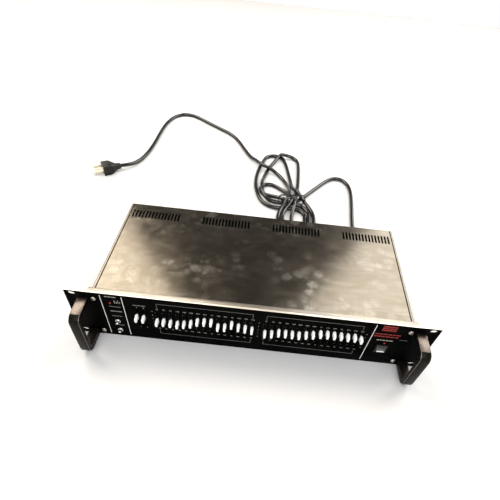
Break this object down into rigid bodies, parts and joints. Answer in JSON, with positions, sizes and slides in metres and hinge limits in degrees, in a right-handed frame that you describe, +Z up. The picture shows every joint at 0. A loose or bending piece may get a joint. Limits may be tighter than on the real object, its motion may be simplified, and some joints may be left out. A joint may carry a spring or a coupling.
{
  "type": "graphic equalizer",
  "caption": "Two-channel graphic equalizer in a two-unit rack case with slide faders, push buttons, a power rocker, carrying handles and a mains cord.",
  "frame": {"origin": "on the surface the unit stands on, under the middle of the box around the case, its handles and its rear sockets, without the mains cord", "axes": "+X to the right seen from the front, +Y from the front panel to the back, +Z up"},
  "size_m": [0.6012, 0.746, 0.0881],
  "materials": {
    "panel_black": "satin black anodised aluminium with pale printing",
    "case_paint": "semi-gloss dark brown-black paint on sheet steel, smudged",
    "handle_black": "satin black painted cast bar with a fine grain",
    "screw_zinc": "bright zinc plating",
    "chrome": "polished",
    "cap_white": "satin white moulding",
    "rocker_grey": "satin dark grey moulding",
    "black_plastic": "satin black moulding",
    "red_lens": "clear red lens",
    "circuit_board": "green solder mask",
    "transformer_steel": "varnished laminations",
    "cord_rubber": "glossy black PVC jacket",
    "plug_rubber": "moulded black PVC, pale brass pins"
  },
  "bodies": {
    "case": {"front_panel": "panel_black", "front_frame": "case_paint", "handle_left": "handle_black", "handle_right": "handle_black", "panel_screw_left_lower": "screw_zinc", "panel_screw_left_upper": "screw_zinc", "panel_screw_right_lower": "screw_zinc", "panel_screw_right_upper": "screw_zinc", "top_cover": "case_paint", "chassis_tray": "case_paint", "fader_board": "circuit_board", "eq_in_switch": "chrome", "low_cut_switch": "chrome", "overload_led": "red_lens", "power_led": "red_lens", "power_switch_housing": "black_plastic", "main_board": "circuit_board", "mains_transformer": "transformer_steel", "phono_sockets": "black_plastic", "fuse_holder": "black_plastic", "strain_relief": "cord_rubber", "cord_lead": "cord_rubber", "cord_hank": "cord_rubber", "cord_tail": "cord_rubber", "mains_plug": "plug_rubber"},
    "level_fader_a": {"level_fader_a": "cap_white"},
    "level_fader_b": {"level_fader_b": "cap_white"},
    "band_a_01": {"band_a_01": "cap_white"},
    "band_a_02": {"band_a_02": "cap_white"},
    "band_a_03": {"band_a_03": "cap_white"},
    "band_a_04": {"band_a_04": "cap_white"},
    "band_a_05": {"band_a_05": "cap_white"},
    "band_a_06": {"band_a_06": "cap_white"},
    "band_a_07": {"band_a_07": "cap_white"},
    "band_a_08": {"band_a_08": "cap_white"},
    "band_a_09": {"band_a_09": "cap_white"},
    "band_a_10": {"band_a_10": "cap_white"},
    "band_a_11": {"band_a_11": "cap_white"},
    "band_a_12": {"band_a_12": "cap_white"},
    "band_a_13": {"band_a_13": "cap_white"},
    "band_a_14": {"band_a_14": "cap_white"},
    "band_a_15": {"band_a_15": "cap_white"},
    "band_b_01": {"band_b_01": "cap_white"},
    "band_b_02": {"band_b_02": "cap_white"},
    "band_b_03": {"band_b_03": "cap_white"},
    "band_b_04": {"band_b_04": "cap_white"},
    "band_b_05": {"band_b_05": "cap_white"},
    "band_b_06": {"band_b_06": "cap_white"},
    "band_b_07": {"band_b_07": "cap_white"},
    "band_b_08": {"band_b_08": "cap_white"},
    "band_b_09": {"band_b_09": "cap_white"},
    "band_b_10": {"band_b_10": "cap_white"},
    "band_b_11": {"band_b_11": "cap_white"},
    "band_b_12": {"band_b_12": "cap_white"},
    "band_b_13": {"band_b_13": "cap_white"},
    "band_b_14": {"band_b_14": "cap_white"},
    "band_b_15": {"band_b_15": "cap_white"},
    "eq_in_button": {"eq_in_button": "chrome"},
    "low_cut_button": {"low_cut_button": "chrome"},
    "power_rocker": {"power_rocker": "rocker_grey"}
  },
  "joints": [
    {"name": "level_fader_a_slide", "type": "slide", "parent": "case", "child": "level_fader_a", "axis": [0, 0, 1], "range_m": [-0.0214, 0.0086]},
    {"name": "level_fader_b_slide", "type": "slide", "parent": "case", "child": "level_fader_b", "axis": [0, 0, 1], "range_m": [-0.0209, 0.0091]},
    {"name": "band_a_01_slide", "type": "slide", "parent": "case", "child": "band_a_01", "axis": [0, 0, 1], "range_m": [-0.0168, 0.0132]},
    {"name": "band_a_02_slide", "type": "slide", "parent": "case", "child": "band_a_02", "axis": [0, 0, 1], "range_m": [-0.0184, 0.0116]},
    {"name": "band_a_03_slide", "type": "slide", "parent": "case", "child": "band_a_03", "axis": [0, 0, 1], "range_m": [-0.0176, 0.0124]},
    {"name": "band_a_04_slide", "type": "slide", "parent": "case", "child": "band_a_04", "axis": [0, 0, 1], "range_m": [-0.0163, 0.0137]},
    {"name": "band_a_05_slide", "type": "slide", "parent": "case", "child": "band_a_05", "axis": [0, 0, 1], "range_m": [-0.0186, 0.0114]},
    {"name": "band_a_06_slide", "type": "slide", "parent": "case", "child": "band_a_06", "axis": [0, 0, 1], "range_m": [-0.0214, 0.0086]},
    {"name": "band_a_07_slide", "type": "slide", "parent": "case", "child": "band_a_07", "axis": [0, 0, 1], "range_m": [-0.0268, 0.0032]},
    {"name": "band_a_08_slide", "type": "slide", "parent": "case", "child": "band_a_08", "axis": [0, 0, 1], "range_m": [-0.0284, 0.0016]},
    {"name": "band_a_09_slide", "type": "slide", "parent": "case", "child": "band_a_09", "axis": [0, 0, 1], "range_m": [-0.0288, 0.0012]},
    {"name": "band_a_10_slide", "type": "slide", "parent": "case", "child": "band_a_10", "axis": [0, 0, 1], "range_m": [-0.0204, 0.0096]},
    {"name": "band_a_11_slide", "type": "slide", "parent": "case", "child": "band_a_11", "axis": [0, 0, 1], "range_m": [-0.0218, 0.0082]},
    {"name": "band_a_12_slide", "type": "slide", "parent": "case", "child": "band_a_12", "axis": [0, 0, 1], "range_m": [-0.0285, 0.0015]},
    {"name": "band_a_13_slide", "type": "slide", "parent": "case", "child": "band_a_13", "axis": [0, 0, 1], "range_m": [-0.0247, 0.0053]},
    {"name": "band_a_14_slide", "type": "slide", "parent": "case", "child": "band_a_14", "axis": [0, 0, 1], "range_m": [-0.0233, 0.0067]},
    {"name": "band_a_15_slide", "type": "slide", "parent": "case", "child": "band_a_15", "axis": [0, 0, 1], "range_m": [-0.0215, 0.0085]},
    {"name": "band_b_01_slide", "type": "slide", "parent": "case", "child": "band_b_01", "axis": [0, 0, 1], "range_m": [-0.0171, 0.0129]},
    {"name": "band_b_02_slide", "type": "slide", "parent": "case", "child": "band_b_02", "axis": [0, 0, 1], "range_m": [-0.0185, 0.0115]},
    {"name": "band_b_03_slide", "type": "slide", "parent": "case", "child": "band_b_03", "axis": [0, 0, 1], "range_m": [-0.0225, 0.0075]},
    {"name": "band_b_04_slide", "type": "slide", "parent": "case", "child": "band_b_04", "axis": [0, 0, 1], "range_m": [-0.0222, 0.0078]},
    {"name": "band_b_05_slide", "type": "slide", "parent": "case", "child": "band_b_05", "axis": [0, 0, 1], "range_m": [-0.022, 0.008]},
    {"name": "band_b_06_slide", "type": "slide", "parent": "case", "child": "band_b_06", "axis": [0, 0, 1], "range_m": [-0.0218, 0.0082]},
    {"name": "band_b_07_slide", "type": "slide", "parent": "case", "child": "band_b_07", "axis": [0, 0, 1], "range_m": [-0.0241, 0.0059]},
    {"name": "band_b_08_slide", "type": "slide", "parent": "case", "child": "band_b_08", "axis": [0, 0, 1], "range_m": [-0.0261, 0.0039]},
    {"name": "band_b_09_slide", "type": "slide", "parent": "case", "child": "band_b_09", "axis": [0, 0, 1], "range_m": [-0.0295, 0.0005]},
    {"name": "band_b_10_slide", "type": "slide", "parent": "case", "child": "band_b_10", "axis": [0, 0, 1], "range_m": [-0.0298, 0.0002]},
    {"name": "band_b_11_slide", "type": "slide", "parent": "case", "child": "band_b_11", "axis": [0, 0, 1], "range_m": [-0.0297, 0.0003]},
    {"name": "band_b_12_slide", "type": "slide", "parent": "case", "child": "band_b_12", "axis": [0, 0, 1], "range_m": [-0.0296, 0.0004]},
    {"name": "band_b_13_slide", "type": "slide", "parent": "case", "child": "band_b_13", "axis": [0, 0, 1], "range_m": [-0.029, 0.001]},
    {"name": "band_b_14_slide", "type": "slide", "parent": "case", "child": "band_b_14", "axis": [0, 0, 1], "range_m": [-0.0294, 0.0006]},
    {"name": "band_b_15_slide", "type": "slide", "parent": "case", "child": "band_b_15", "axis": [0, 0, 1], "range_m": [-0.0264, 0.0036]},
    {"name": "eq_in_button_press", "type": "slide", "parent": "case", "child": "eq_in_button", "axis": [0, 1, 0], "range_m": [0, 0.0025], "stiffness_N_per_m": 400},
    {"name": "low_cut_button_press", "type": "slide", "parent": "case", "child": "low_cut_button", "axis": [0, 1, 0], "range_m": [0, 0.0025], "stiffness_N_per_m": 400},
    {"name": "power_rocker_tilt", "type": "hinge", "parent": "case", "child": "power_rocker", "pos_m": [0.1792, -0.0813, 0.0357], "axis": [1, 0, 0], "range_deg": [0, 24]}
  ]
}
